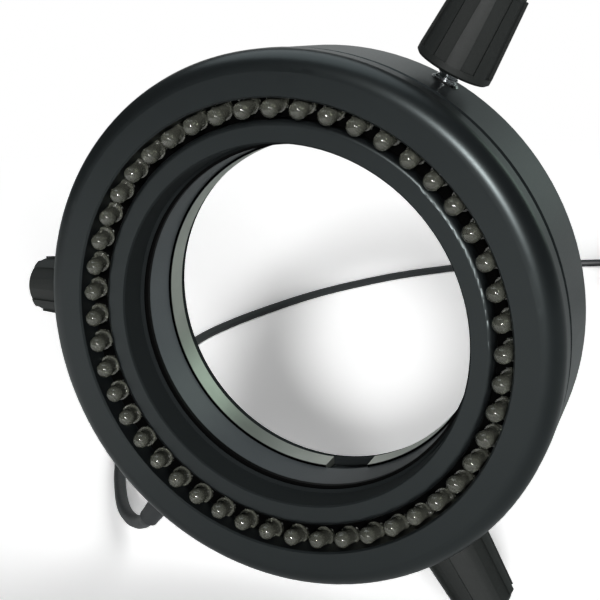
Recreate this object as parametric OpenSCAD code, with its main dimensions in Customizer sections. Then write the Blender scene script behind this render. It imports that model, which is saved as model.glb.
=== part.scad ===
// Ring lamp for a microscope objective: lamps in a slot, split clamp band, three thumb screws
// Millimetres, +Z up; bore axis along Y, lamps face -Y; origin on the axis in the plane of the screws
// The ring's own pieces are drawn about Z with the lamps upwards, then laid over by place()

/* [Front] */
// Width of the bezel from the slot outwards
bezel_w = 7.6; // [7:0.1:12]
// Rounding of the bezel's front edge
bezel_round = 3.5; // [1:0.1:4.5]
// Height of the bezel's visible side
bezel_skirt = 6.3; // [5.6:0.1:7]
// Thickness of the bezel's front
bezel_t = 5; // [4.4:0.1:5.4]
// Screw plane to the front face
front_h = 19.4; // [18:0.1:23]
// Thickness of the seal in the parting line
seal_t = 1.85; // [0.8:0.05:2]
// Width of the seal
seal_w = 1.4; // [0.8:0.1:1.8]

/* [Lamps] */
// Number of lamps
lamp_n = 48; // [24:6:48]
// Diameter of a lamp's lens
lamp_d = 3; // [2.4:0.1:3.4]
// Diameter of a lamp's flange
flange_d = 3.8; // [3.4:0.1:4]
// Height of a lamp's flange
flange_h = 1; // [0.6:0.1:1.4]
// Height of a lamp from flange to tip
lamp_h = 5.2; // [4.4:0.1:6]
// Width of the slot
slot_w = 3.7; // [3.6:0.1:4]
// Angle of the first lamp
lamp_start = 0.4; // [0:0.1:7]
// Lamps in one string
string_n = 3; // [2:1:3]

/* [Board] */
// Thickness of the lamp holder
holder_t = 1.6; // [1:0.1:2]
// Thickness of the circuit board
board_t = 1.6; // [1:0.2:2]
// Length of a chip resistor
chip_l = 3.2; // [2:0.2:3.6]
// Width of a chip resistor
chip_w = 1.6; // [0.8:0.1:1.8]
// Thickness of a lamp's lead
lead_t = 0.5; // [0.3:0.05:0.55]
// Spacing of a lamp's two leads
lead_pitch = 2.54; // [2:0.02:2.6]
// Length of the lead ends under the board
lead_end = 1; // [0.5:0.1:1.6]

/* [Bore] */
// Bore of the grey sleeve
sleeve_d = 62.8; // [56:0.1:80]
// Step in from the sleeve to the open clamp band
band_proud = 0.4; // [0.2:0.05:0.6]
// Thickness of the clamp band
band_t = 1.5; // [1:0.1:1.7]
// Width of the clamp band
band_w = 4.3; // [3.8:0.05:6]
// Opening of the clamp band
band_gap = 8.6; // [3:0.1:12]
// Angle of the opening
gap_a = 279; // [250:1:286]
// Step out from the sleeve to the collar's bore
collar_step = 0.95; // [0.6:0.05:2]
// Width of the collar's face
collar_face = 3.95; // [3.4:0.05:8]
// Rounding of the collar's edge at the slot
collar_round = 1; // [0.3:0.1:1.5]
// Front face to the collar's face
collar_drop = 2.7; // [1:0.1:3.2]
// Height of the collar's bore wall
collar_wall = 5.6; // [5:0.1:6.2]

/* [Housing] */
// Thickness of the outer wall
wall_t = 2.15; // [1.6:0.05:2.4]
// Draft of the outer wall on the radius
draft = 0.4; // [0:0.05:0.8]
// Screw plane to the rear rim
rear_h = 5.4; // [5:0.1:8]
// Thickness of the rear web
web_t = 1.65; // [0.8:0.05:1.75]
// Diameter of the bezel's pillars
pillar_d = 4; // [3.2:0.1:4.2]
// Diameter of a rear screw
fix_d = 2; // [1.6:0.1:2.4]
// Diameter of a rear screw's head
fix_head_d = 3.8; // [3.4:0.1:4.2]
// Height of a rear screw's head
fix_head_h = 1.4; // [1:0.1:1.6]

/* [Thumb screws] */
// Diameter of the clamp screws
screw_d = 3.8; // [3.4:0.1:4]
// Pitch of the clamp screws
screw_pitch = 0.7; // [0.5:0.05:0.8]
// Turns that screw 1 stands out from the band
turns_1 = 3; // [0:0.1:3]
// Turns that screw 2 stands out from the band
turns_2 = 0.2; // [0:0.1:3]
// Turns that screw 3 stands out from the band
turns_3 = 1.4; // [0:0.1:3]
// Diameter of a thrust pad
pad_d = 3.1; // [2.6:0.1:3.2]
// Length of a thrust pad
pad_l = 3.6; // [3:0.1:4]
// Diameter of a bush
bush_d = 5; // [4.8:0.1:5.6]
// Height of a bush above the wall
bush_proud = 0.3; // [0.2:0.1:1]
// Gap between bush and knob with its screw at the band
knob_gap = 0.1; // [0.1:0.1:2]
// Diameter of a knob at its base
knob_d = 13.4; // [11:0.1:16]
// Diameter of a knob at the end of its ribs
knob_tip_d = 11.5; // [10.8:0.1:11.8]
// Diameter of a knob's end collar
knob_cap_d = 10.6; // [9.4:0.1:11]
// Length of the ribs and base
knob_rib_l = 14.5; // [12:0.1:20]
// Length of the plain base
knob_base_l = 1.4; // [0.8:0.1:3]
// Height of the end collar and chamfer
knob_cap_h = 1.2; // [1:0.1:2]
// Number of flutes
flute_n = 8; // [6:1:10]
// Depth of a flute
flute_t = 0.6; // [0.3:0.05:0.7]
// Width of a flute
flute_w = 2.5; // [1.6:0.1:2.9]
// Rest angle of knob 1
knob_a1 = 34; // [0:1:45]
// Rest angle of knob 2
knob_a2 = 38; // [0:1:45]
// Rest angle of knob 3
knob_a3 = 28; // [0:1:45]

/* [Cord] */
// Diameter of the cord
cord_d = 3; // [2.6:0.1:3]
// Angle of the cord's inlet
gland_a = 230.5; // [224:0.5:240]
// Screw plane to the inlet
gland_z = 2.4; // [2:0.1:3]
// Diameter of the gland's flange
gland_d = 8.4; // [7.6:0.1:8.6]
// Height of the gland's flange
gland_h = 2.2; // [1.4:0.1:3]
// Diameter of the gland's shank
shank_d = 6; // [5.2:0.1:6.4]
// Height of the gland's nut
nut_h = 1.6; // [1:0.1:1.6]
// Length of the strain relief
relief_l = 14.6; // [12:0.2:16]
// Height of the bore axis above the table
axis_h = 59; // [58.8:0.1:60]
// Outer radius of the coil
coil_ro = 25; // [24:0.5:26]
// Turns in one layer of the coil
coil_n = 4.9; // [4.4:0.1:4.9]
// Width of the coil's tie
tie_w = 4; // [2:0.5:5]
// Diameter of the plug's body
plug_d = 11; // [9:0.5:11]
// Length of the plug's body
plug_l = 18; // [14:1:24]
// Diameter of the plug's barrel
barrel_d = 5.5; // [5:0.1:6]
// Length of the plug's barrel
barrel_l = 9.5; // [8:0.5:12]

/* [Hidden] */
$fn = 64;
// Clearances
fit = 0.05;
slip = 0.1;
loose = 0.2;
screw_room = 0.3;
small_edge = 0.3;
past = 1;
// Heights above the screw plane
web_top = -screw_d / 2 - screw_room;
web_bot = web_top - web_t;
holder_top = front_h - bezel_t;
board_top = holder_top - holder_t;
board_bot = board_top - board_t;
collar_top = front_h - collar_drop;
lip_in = 0.5;
lip_t = 0.1;
lip_top = collar_top - collar_wall;
lip_bot = lip_top - lip_in - lip_t;
sleeve_gap = 0.55;
neck_l = 2.5;
sleeve_top = lip_bot - sleeve_gap;
shoulder_z = sleeve_top - neck_l;
band_bot = web_top + slip;
band_top = band_bot + band_w;
pocket_top = band_top + slip;
skirt_bot = front_h - bezel_skirt;
house_top = skirt_bot - seal_t;
spigot_l = 3;
// Radii about the bore axis
sleeve_r = sleeve_d / 2;
clamp_r = sleeve_r - band_proud;
collar_r = sleeve_r + collar_step;
slot_ri = collar_r + collar_face;
lamp_r = slot_ri + slot_w / 2;
slot_ro = slot_ri + slot_w;
under_ri = lamp_r - flange_d / 2 - loose;
under_ro = lamp_r + flange_d / 2 + loose;
under_z = holder_top + flange_h + loose;
bezel_r = slot_ro + bezel_w;
wall_step = 0.15;
wall_ro = bezel_r - wall_step;
wall_ri = wall_ro - wall_t;
rim_ro = wall_ro - draft;
rim_t = 1.6;
spigot_t = 1.6;
spigot_ro = wall_ri - slip;
pillar_n = 4;
pillar_a = 12;
pillar_r = min(spigot_ro - pillar_d / 2, rim_ro - rim_t - fix_head_d / 2 - loose);
board_ri = slot_ri + slip;
board_ro = pillar_r - pillar_d / 2 - slip;
lead_gap = 0.3;
ledge_r = lamp_r - lead_t / 2 - lead_gap;
band_ro = clamp_r + band_t;
band_room = 0.3;
pocket_r = band_ro + band_room;
sleeve_t = 2.7;
sleeve_ro = pocket_r + sleeve_t;
neck_t = 2;
neck_ro = sleeve_r + neck_t;
web_room = 0.4;
web_r = clamp_r + web_room;
gap_angle = 2 * asin(band_gap / 2 / clamp_r);
function wall_at(z) = rim_ro + draft * (z + rear_h) / (house_top + rear_h);
// Screw line, measured out from the bore axis with the pad at the band
screw_angles = [60, 180, 300];
screw_turns = [turns_1, turns_2, turns_3];
knob_angles = [knob_a1, knob_a2, knob_a3];
function backed(k) = screw_turns[k] * screw_pitch;
pad_in = band_ro + loose;
pad_out = pad_in + pad_l;
tip_d = 1.6;
tip_l = 1.3;
screw_in = pad_out + slip;
screw_grip = 10;
bush_out = wall_at(0) + bush_proud;
knob_in = bush_out + knob_gap;
knob_taper = atan((knob_d - knob_tip_d) / 2 / (knob_rib_l - knob_base_l));
knob_chamfer = 0.9;
knob_edge = 0.4;
// Inlet line, measured out from the bore axis
gland_sink = 0.55;
gland_seat = wall_at(gland_z) - gland_sink;
gland_out = gland_seat + gland_h;
nut_d = 9.2;
nut_out = sqrt(pow(wall_ri, 2) - pow(nut_d / 2, 2)) - fit;
shank_past = 0.4;
shank_in = nut_out - nut_h - shank_past;
inlet_past = 0.6;
inlet_in = shank_in - inlet_past;
relief_out = gland_out + relief_l;
relief_base_d = 6.2;
relief_t = 0.6;
relief_end_d = cord_d + 2 * relief_t;
relief_bead = 1;
wire_d = 1.2;
wire_off = wire_d / 2 + slip;
wire_bend = 1.6;
wire_lead = 0.5;
wire_r = inlet_in - wire_lead - wire_bend;
chip_h = 0.6;
chip_r = lamp_r + lead_t + chip_w / 2;
lead_hole_d = sqrt(2) * lead_t + slip;
pilot_l = 10;
// Cord on the table
table_z = -axis_h;
laid_z = table_z + cord_d / 2;
exit_dir = [cos(gland_a), 0, sin(gland_a)];
exit_at = relief_out * exit_dir - [0, gland_z, 0];
exit_lead = 3;
tie_t = 0.6;
tie_room = 0.3;
coil_c = [45, 267];
coil_a = 112.5;
coil_room = 0.5;
coil_step = cord_d + coil_room;
climb_n = 0.5;
coil_turns = 2 * coil_n + climb_n;
coil_rings = 24;
coil_sides = 6;
run_sides = 8;
coil_z = table_z + tie_t + tie_room + cord_d / 2;
tie_a = -90;
tail_l = 12;
route_steps = 3;
// Points that the cord passes on its way from the inlet to the coil
route = [
    exit_at + [-2, 1.7, -1.9],
    exit_at + [-4.9, 4.2, -4],
    exit_at + [-8.1, 6.9, -5.7],
    exit_at + [-11.1, 9.5, -6.8],
    [-54.7, 10.2, -56.6],
    [-58.1, 13.9, -57.1],
    [-61.7, 18.5, -57.4],
    [-65.6, 24, laid_z],
    [-69.8, 30.4, laid_z],
    [-77.2, 43, laid_z],
    [-86.5, 64, laid_z],
    [-95, 88, laid_z],
    [-101.5, 111, laid_z],
    [-104.2, 134, laid_z],
    [-102, 153, laid_z],
    [-96.8, 173.5, laid_z],
    [-88.3, 197.8, laid_z],
    [-77, 219, laid_z],
    [-61.4, 240.5, laid_z],
    [-38, 261, laid_z],
    [-12, 272.2, laid_z],
    [12, 280, laid_z]
];
boot_l = 10;
boot_base_d = 7;
boot_end_d = cord_d + 2 * relief_t;
barrel_sink = 4;
barrel_t = 0.8;
foot_t = 0.5;
foot_d = barrel_d + 2 * foot_t;
pin_hole_d = 2.1;

// Lays the ring over so that its lamps face -Y
module place() {
    rotate([90, 0, 0]) children();
}

// Turns +Z outwards along a radius at the angle a, starting at the radius r and height z
module radial(a, r, z = 0) {
    rotate([0, 0, a]) translate([r, 0, z]) rotate([0, 90, 0]) children();
}

module band2d(r1, r2, z1, z2) {
    translate([r1, z1]) square([r2 - r1, z2 - z1]);
}

module on_pillars() {
    for (i = [0 : pillar_n - 1])
        rotate([0, 0, pillar_a + i * 360 / pillar_n]) translate([pillar_r, 0, 0]) children();
}

module on_lamps() {
    for (i = [0 : lamp_n - 1])
        rotate([0, 0, lamp_start + i * 360 / lamp_n]) translate([lamp_r, 0, 0]) children();
}

module on_leads() {
    on_lamps() {
        translate([0, lead_pitch / 2, 0]) children();
        translate([0, -lead_pitch / 2, 0]) children();
    }
}

// Front
module bezel_section() {
    corner = [bezel_r - bezel_round, front_h - bezel_round];
    difference() {
        union() {
            band2d(slot_ro, bezel_r, under_z, front_h);
            band2d(under_ro, bezel_r, holder_top, under_z);
            band2d(spigot_ro - spigot_t, bezel_r, skirt_bot, holder_top);
            band2d(spigot_ro - spigot_t, spigot_ro, skirt_bot - spigot_l, skirt_bot);
        }
        difference() {
            translate(corner) square(bezel_round + past);
            translate(corner) circle(bezel_round);
        }
        translate([slot_ro, front_h]) circle(small_edge, $fn = 4);
    }
}

module front_bezel() {
    color("#3a3c3c") place() difference() {
        union() {
            rotate_extrude() bezel_section();
            on_pillars() translate([0, 0, web_top]) cylinder(d = pillar_d, h = holder_top - web_top);
        }
        on_pillars() translate([0, 0, web_top - past]) cylinder(d = fix_d + 2 * fit, h = pilot_l + past);
    }
}

module seal_ring() {
    color("#101112") place() rotate_extrude()
        band2d(wall_ri, wall_ri + seal_w, house_top, skirt_bot);
}

module led_holder() {
    color("#141516") place() difference() {
        rotate_extrude() band2d(board_ri, board_ro, board_top, holder_top);
        on_leads() translate([0, 0, board_top - past]) cylinder(d = lead_hole_d, h = holder_t + 2 * past);
    }
}

module lamp_section() {
    dome = lamp_h - lamp_d / 2;
    band2d(0, flange_d / 2, 0, flange_h);
    band2d(0, lamp_d / 2, flange_h, dome);
    intersection() {
        translate([0, dome]) circle(lamp_d / 2);
        band2d(0, lamp_d, dome, dome + lamp_d);
    }
}

module leds() {
    color("#80827a") place() on_lamps() translate([0, 0, holder_top]) rotate_extrude() lamp_section();
}

module led_leads() {
    foot = board_bot - lead_end;
    color("#b9bbb8") place() on_leads()
        translate([-lead_t / 2, -lead_t / 2, foot]) cube([lead_t, lead_t, holder_top - foot]);
}

module led_board() {
    color("#2d4a36") place() difference() {
        rotate_extrude() band2d(board_ri, board_ro, board_bot, board_top);
        on_leads() translate([0, 0, board_bot - past]) cylinder(d = lead_hole_d, h = board_t + 2 * past);
    }
}

module resistors() {
    strings = lamp_n / string_n;
    color("#222222") place() for (i = [0 : strings - 1])
        rotate([0, 0, gland_a + (i + 0.5) * 360 / strings])
            translate([chip_r - chip_w / 2, -chip_l / 2, board_bot - chip_h]) cube([chip_w, chip_l, chip_h]);
}

// Bore
module collar_section() {
    corner = [slot_ri - collar_round, collar_top - collar_round];
    lip_ri = collar_r - lip_in;
    neck_room = neck_ro + fit;
    difference() {
        polygon([
            [collar_r, lip_top],
            [collar_r, collar_top - small_edge],
            [collar_r + small_edge, collar_top],
            [slot_ri, collar_top],
            [slot_ri, under_z],
            [under_ri, under_z],
            [under_ri, board_bot],
            [ledge_r, board_bot],
            [ledge_r, shoulder_z],
            [neck_room, shoulder_z],
            [neck_room, lip_bot],
            [lip_ri, lip_bot],
            [lip_ri, lip_bot + lip_t]
        ]);
        difference() {
            translate(corner) square(collar_round + past);
            translate(corner) circle(collar_round);
        }
    }
}

module inner_collar() {
    color("#34383a") place() rotate_extrude() collar_section();
}

module bore_sleeve() {
    color("#55595a") place() difference() {
        rotate_extrude() polygon([
            [sleeve_r, sleeve_top],
            [neck_ro, sleeve_top],
            [neck_ro, shoulder_z],
            [sleeve_ro, shoulder_z],
            [sleeve_ro, web_top],
            [pocket_r, web_top],
            [pocket_r, pocket_top],
            [sleeve_r, pocket_top]
        ]);
        for (a = screw_angles)
            radial(a, pocket_r - past) cylinder(d = pad_d + 2 * slip, h = sleeve_t + 2 * past);
    }
}

module clamp_band() {
    color("#9a9e98") place() rotate([0, 0, gap_a + gap_angle / 2])
        rotate_extrude(angle = 360 - gap_angle) band2d(clamp_r, band_ro, band_bot, band_top);
}

// Housing
module rear_housing() {
    rim_bot = -rear_h;
    color("#4f5656") place() difference() {
        rotate_extrude() polygon([
            [web_r, web_bot],
            [web_r, web_top],
            [wall_ri, web_top],
            [wall_ri, house_top],
            [wall_ro - small_edge, house_top],
            [wall_ro, house_top - small_edge],
            [rim_ro, rim_bot + small_edge],
            [rim_ro - small_edge, rim_bot],
            [rim_ro - rim_t, rim_bot],
            [rim_ro - rim_t, web_bot]
        ]);
        for (a = screw_angles)
            radial(a, wall_ri - past) cylinder(d = bush_d + 2 * fit, h = wall_t + 2 * past);
        radial(gland_a, wall_ri - past, gland_z) cylinder(d = shank_d + 2 * fit, h = wall_t + 2 * past);
        radial(gland_a, gland_seat, gland_z) cylinder(d = gland_d + 2 * fit, h = wall_t + past);
        on_pillars() translate([0, 0, web_bot - past]) cylinder(d = fix_d + 2 * loose, h = web_t + 2 * past);
    }
}

module housing_screws() {
    drive_t = 0.7;
    drive_w = 0.6;
    head_bot = web_bot - fix_head_h;
    fix_l = pilot_l - past;
    color("#8b8d8c") place() on_pillars() difference() {
        union() {
            translate([0, 0, head_bot]) cylinder(d = fix_head_d, h = fix_head_h);
            translate([0, 0, web_bot]) cylinder(d = fix_d, h = web_t + fix_l);
        }
        translate([-fix_head_d, -drive_w / 2, head_bot - past])
            cube([2 * fix_head_d, drive_w, past + drive_t]);
    }
}

module thread_bushes() {
    bush_l = bush_out - wall_ri;
    color("#77797a") place() for (a = screw_angles) radial(a, wall_ri) difference() {
        union() {
            cylinder(d = bush_d, h = bush_l - small_edge);
            translate([0, 0, bush_l - small_edge])
                cylinder(d1 = bush_d, d2 = bush_d - 2 * small_edge, h = small_edge);
        }
        translate([0, 0, -past]) cylinder(d = screw_d + 2 * fit, h = bush_l + 2 * past);
    }
}

// Thumb screws
module thrust_pad(k) {
    color("#d9d6c8") place() radial(screw_angles[k], pad_in + backed(k)) difference() {
        cylinder(d = pad_d, h = pad_l);
        translate([0, 0, pad_l - tip_l]) cylinder(d = tip_d + 2 * fit, h = tip_l + past);
    }
}

module clamp_screw(k) {
    body_l = knob_in + screw_grip - screw_in - small_edge;
    color("#a3a5a4") place() radial(screw_angles[k], screw_in + backed(k)) union() {
        translate([0, 0, -tip_l]) cylinder(d = tip_d, h = tip_l);
        cylinder(d1 = screw_d - 2 * small_edge, d2 = screw_d, h = small_edge);
        translate([0, 0, small_edge]) cylinder(d = screw_d, h = body_l);
    }
}

module knob_section() {
    base_r = knob_d / 2;
    cap_r = knob_cap_d / 2;
    top = knob_rib_l + knob_cap_h;
    polygon([
        [0, 0],
        [base_r - knob_edge, 0],
        [base_r, knob_edge],
        [base_r, knob_base_l],
        [knob_tip_d / 2, knob_rib_l],
        [cap_r, knob_rib_l],
        [cap_r, top - knob_chamfer],
        [cap_r - knob_chamfer, top],
        [0, top]
    ]);
}

module knob(k) {
    base_at = knob_in + backed(k);
    color("#2d2f2e") place() radial(screw_angles[k], base_at) rotate([0, 0, knob_angles[k]]) difference() {
        rotate_extrude() knob_section();
        for (i = [0 : flute_n - 1])
            rotate([0, 0, i * 360 / flute_n]) translate([knob_d / 2 - flute_t, 0, knob_base_l])
                rotate([0, -knob_taper, 0]) translate([0, -flute_w / 2, 0])
                    cube([knob_d, flute_w, knob_rib_l + knob_cap_h]);
        translate([0, 0, -past]) cylinder(d = screw_d + 2 * fit, h = past + screw_grip + fit);
    }
}

// Cord inlet
module cable_gland() {
    gland_l = gland_out - shank_in;
    color("#1d1e1f") place() difference() {
        union() {
            radial(gland_a, shank_in, gland_z) cylinder(d = shank_d, h = gland_l);
            radial(gland_a, gland_seat, gland_z) cylinder(d = gland_d, h = gland_h);
        }
        radial(gland_a, shank_in - past, gland_z) cylinder(d = cord_d + 2 * fit, h = gland_l + 2 * past);
    }
}

module gland_nut() {
    color("#2a2b2c") place() radial(gland_a, nut_out - nut_h, gland_z) difference() {
        rotate([0, 0, 30]) cylinder(d = nut_d, h = nut_h, $fn = 6);
        translate([0, 0, -past]) cylinder(d = shank_d + 2 * fit, h = nut_h + 2 * past);
    }
}

module strain_relief() {
    cone_l = relief_l - relief_bead;
    color("#202223") place() radial(gland_a, gland_out, gland_z) difference() {
        union() {
            cylinder(d1 = relief_base_d, d2 = relief_end_d, h = cone_l);
            translate([0, 0, cone_l]) cylinder(d = relief_end_d, h = relief_bead);
        }
        translate([0, 0, -past]) cylinder(d = cord_d + 2 * fit, h = relief_l + 2 * past);
    }
}

module cord_inlet() {
    inlet_l = relief_out - inlet_in;
    color("#242627") place() radial(gland_a, inlet_in, gland_z) cylinder(d = cord_d, h = inlet_l);
}

module wire(side) {
    bend_r = wire_r + wire_bend;
    bend_z = gland_z + wire_bend;
    place() rotate([0, 0, gland_a]) translate([0, side * wire_off, 0]) union() {
        translate([bend_r, 0, gland_z]) rotate([0, 90, 0]) cylinder(d = wire_d, h = wire_lead);
        translate([bend_r, 0, bend_z]) rotate([90, 0, 0]) rotate([0, 0, 180])
            rotate_extrude(angle = 90) translate([wire_bend, 0]) circle(d = wire_d);
        translate([wire_r, 0, bend_z]) cylinder(d = wire_d, h = board_bot - bend_z);
    }
}

module wire_positive() {
    color("#a02820") wire(1);
}

module wire_negative() {
    color("#18191a") wire(-1);
}

// Cord
function unit(v) = v / norm(v);

function spline(a, b, c, d, t) =
    0.5 * (2 * b + (c - a) * t + (2 * a - 5 * b + 4 * c - d) * t * t + (3 * b - a - 3 * c + d) * t * t * t);

function through(p, n) = concat(
    [for (i = [1 : len(p) - 3]) for (k = [0 : n - 1]) spline(p[i - 1], p[i], p[i + 1], p[i + 2], k / n)],
    [p[len(p) - 2]]
);

function heading(p, i) = unit(p[min(i + 1, len(p) - 1)] - p[max(i - 1, 0)]);

function across(t) = unit(cross(t, [0, 0, 1]));

// Round tube of d along the points p, its ends square to the directions t0 and t1
module tube(p, d, sides, t0, t1) {
    n = len(p);
    dirs = [for (i = [0 : n - 1]) i == 0 ? t0 : i == n - 1 ? t1 : heading(p, i)];
    ring = [for (i = [0 : n - 1]) for (k = [0 : sides - 1])
        let (s = across(dirs[i]), a = 360 * (k + 0.5) / sides)
            p[i] + d / 2 * (cos(a) * s + sin(a) * cross(s, dirs[i]))];
    skin = [for (i = [0 : n - 2]) for (k = [0 : sides - 1])
        let (a = i * sides + k, b = i * sides + (k + 1) % sides)
            each [[a, b, b + sides], [a, b + sides, a + sides]]];
    first = [for (k = [sides - 1 : -1 : 0]) k];
    last = [for (k = [0 : sides - 1]) (n - 1) * sides + k];
    polyhedron(points = ring, faces = concat([first], skin, [last]));
}

// Centre line of the coil after u turns: in along the lower layer, up half a turn, out along the upper one
function coil_at(u) =
    let (inward = min(u, coil_turns - u), a = coil_a - 360 * u, r = coil_ro - coil_step * inward,
        climb = min(max((u - coil_n) / climb_n, 0), 1))
    [coil_c[0] + r * cos(a), coil_c[1] + r * sin(a), coil_z + coil_step * climb];

coil_count = ceil(coil_turns * coil_rings);
coil_mid = [for (i = [0 : coil_count]) coil_at(coil_turns * i / coil_count)];
coil_t0 = unit(coil_mid[1] - coil_mid[0]);
coil_t1 = unit(coil_mid[coil_count] - coil_mid[coil_count - 1]);
coil_start = coil_mid[0] - cord_d * coil_t0;
coil_end = coil_mid[coil_count] + tail_l * coil_t1;
coil_path = concat([coil_start], coil_mid, [coil_end]);
run_path = through(concat(
    [exit_at - exit_lead * exit_dir, exit_at],
    route,
    [coil_start, coil_start + cord_d * coil_t0]), route_steps);

function path_l(p) = [for (i = [1 : len(p) - 1]) norm(p[i] - p[i - 1])] * [for (i = [1 : len(p) - 1]) 1];

coil_least = min([for (i = [0 : coil_count]) for (j = [i + coil_rings / 2 : coil_count])
    norm(coil_mid[i] - coil_mid[j])]);
echo(coil_gap = coil_least - cord_d, run_l = path_l(run_path), coil_l = path_l(coil_path));
echo(cord_l = path_l(run_path) + path_l(coil_path) + relief_out - inlet_in);

module cord_run() {
    color("#282b2b") tube(run_path, cord_d, run_sides, exit_dir, coil_t0);
}

module cord_coil() {
    color("#282b2b") tube(coil_path, cord_d, coil_sides, coil_t0, coil_t1);
}

module rounded2d(w, h, r) {
    square([w - 2 * r, h], center = true);
    square([w, h - 2 * r], center = true);
    for (x = [-1, 1])
        for (y = [-1, 1])
            translate([x * (w / 2 - r), y * (h / 2 - r)]) circle(r);
}

module coil_tie() {
    inner = coil_ro - coil_step * coil_turns / 2 - cord_d / 2 - tie_room;
    outer = coil_ro + cord_d / 2 + tie_room;
    tall = coil_step + cord_d + 2 * tie_room;
    mid_z = coil_z + coil_step / 2;
    color("#1b1c1d") translate([coil_c[0], coil_c[1], mid_z]) rotate([0, 0, tie_a])
        translate([(inner + outer) / 2, 0, 0]) rotate([90, 0, 0])
            linear_extrude(tie_w, center = true) difference() {
                rounded2d(outer - inner + 2 * tie_t, tall + 2 * tie_t, small_edge + tie_t);
                rounded2d(outer - inner, tall, small_edge);
            }
}

// Lays +Z along the cord's end, starting l past it
module beyond_cord(l) {
    translate(coil_end) rotate([0, 0, atan2(coil_t1[1], coil_t1[0])]) rotate([0, 90, 0])
        translate([0, 0, l]) children();
}

module plug_boot() {
    color("#202223") beyond_cord(0) cylinder(d1 = boot_end_d, d2 = boot_base_d, h = boot_l);
}

module plug_body() {
    color("#1e2021") beyond_cord(boot_l) difference() {
        union() {
            cylinder(d1 = plug_d - 2 * past, d2 = plug_d, h = past);
            translate([0, 0, past]) cylinder(d = plug_d, h = plug_l - 2 * past);
            translate([0, 0, plug_l - past]) cylinder(d1 = plug_d, d2 = plug_d - 2 * past, h = past);
        }
        translate([0, 0, plug_l - barrel_sink]) cylinder(d = foot_d + 2 * fit, h = barrel_sink + past);
    }
}

module plug_barrel() {
    color("#b4b6b5") beyond_cord(boot_l + plug_l - barrel_sink) difference() {
        union() {
            cylinder(d = foot_d, h = barrel_sink);
            cylinder(d = barrel_d, h = barrel_sink + barrel_l);
        }
        translate([0, 0, -past]) cylinder(d = barrel_d - 2 * barrel_t, h = barrel_sink + barrel_l + 2 * past);
    }
}

module plug_insulator() {
    color("#26282a") beyond_cord(boot_l + plug_l - barrel_sink) difference() {
        cylinder(d = barrel_d - 2 * barrel_t - 2 * fit, h = barrel_sink + barrel_l - small_edge);
        translate([0, 0, barrel_sink]) cylinder(d = pin_hole_d, h = barrel_l + past);
    }
}

front_bezel();
seal_ring();
led_holder();
leds();
led_leads();
led_board();
resistors();
inner_collar();
bore_sleeve();
clamp_band();
rear_housing();
housing_screws();
thread_bushes();
thrust_pad(0);  // thrust_pad_1
thrust_pad(1);  // thrust_pad_2
thrust_pad(2);  // thrust_pad_3
clamp_screw(0);  // clamp_screw_1
clamp_screw(1);  // clamp_screw_2
clamp_screw(2);  // clamp_screw_3
knob(0);  // knob_1
knob(1);  // knob_2
knob(2);  // knob_3
cable_gland();
gland_nut();
strain_relief();
cord_inlet();
wire_positive();
wire_negative();
cord_run();
cord_coil();
coil_tie();
plug_boot();
plug_body();
plug_barrel();
plug_insulator();
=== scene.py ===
import math

import bmesh
import bpy
from bpy.props import FloatProperty, FloatVectorProperty, IntProperty, PointerProperty
from mathutils import Matrix, Vector


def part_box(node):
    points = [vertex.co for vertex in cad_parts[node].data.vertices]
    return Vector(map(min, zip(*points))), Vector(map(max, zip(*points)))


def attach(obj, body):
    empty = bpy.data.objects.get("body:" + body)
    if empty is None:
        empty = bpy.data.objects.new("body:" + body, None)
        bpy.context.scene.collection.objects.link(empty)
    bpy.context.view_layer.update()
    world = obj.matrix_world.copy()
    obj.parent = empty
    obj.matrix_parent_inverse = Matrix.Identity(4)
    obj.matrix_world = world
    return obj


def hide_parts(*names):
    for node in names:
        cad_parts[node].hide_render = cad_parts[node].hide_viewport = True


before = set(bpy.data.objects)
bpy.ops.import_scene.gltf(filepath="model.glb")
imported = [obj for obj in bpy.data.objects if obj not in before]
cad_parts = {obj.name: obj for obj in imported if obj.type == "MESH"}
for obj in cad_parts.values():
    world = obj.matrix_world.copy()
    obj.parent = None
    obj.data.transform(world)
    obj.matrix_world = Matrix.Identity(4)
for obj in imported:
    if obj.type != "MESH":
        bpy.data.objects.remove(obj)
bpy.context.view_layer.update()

bl_info = {
    "name": "Ring lamp dressing",
    "version": (1, 0, 0),
    "blender": (4, 5, 0),
    "location": "View3D > Sidebar > Ring lamp",
    "description": "Finishes, lamp lenses, screw threads, cord and stage for a microscope ring lamp",
    "category": "Object",
}

MM = 0.001
TABLE = -59.0

# Bore, in millimetres: the radius up to which it is bored dull, and the painted shade in its two corners, a
# black strip that stands for the shadow in a narrow gap
BORED_RADIUS = 32.65
SLEEVE_PAINTED_SHADE = 0.7
BAND_PAINTED_SHADE = 0.1
PAINTED_SHADE_FADE = 0.2

# Lamps, in millimetres and degrees: their circle, and the hub of each dome that they lean round
LAMP_CIRCLE = 38.15
LAMP_COUNT = 48
LAMP_START = 0.4
LAMP_SEAT = -14.4
LAMP_HUB = 3.7
LAMP_LEAN = 17
LAMP_SHARP = 35
SLOT_OUTER = 40
SLOT_CLEAR = 0.05
SEAT_CLEAR = 0.01

# Lamp outlines, as radii and heights over the seat
LENS_RADIUS = 1.5
LENS_SIDES = 32
DOME_STEP = 9
FLANGE = ((0, 0), (1.85, 0), (1.9, 0.06), (1.9, 0.92), (1.84, 1), (1.54, 1), (LENS_RADIUS, 1.05))
POST_SIDES = 20
POST = (
    (0, 0.5), (0.55, 0.5), (0.55, 0.65), (0.35, 0.7), (0.35, 2.1), (0.6, 2.2), (0.62, 2.7), (0.5, 2.72),
    (0.28, 2.45), (0, 2.45),
)

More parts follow.
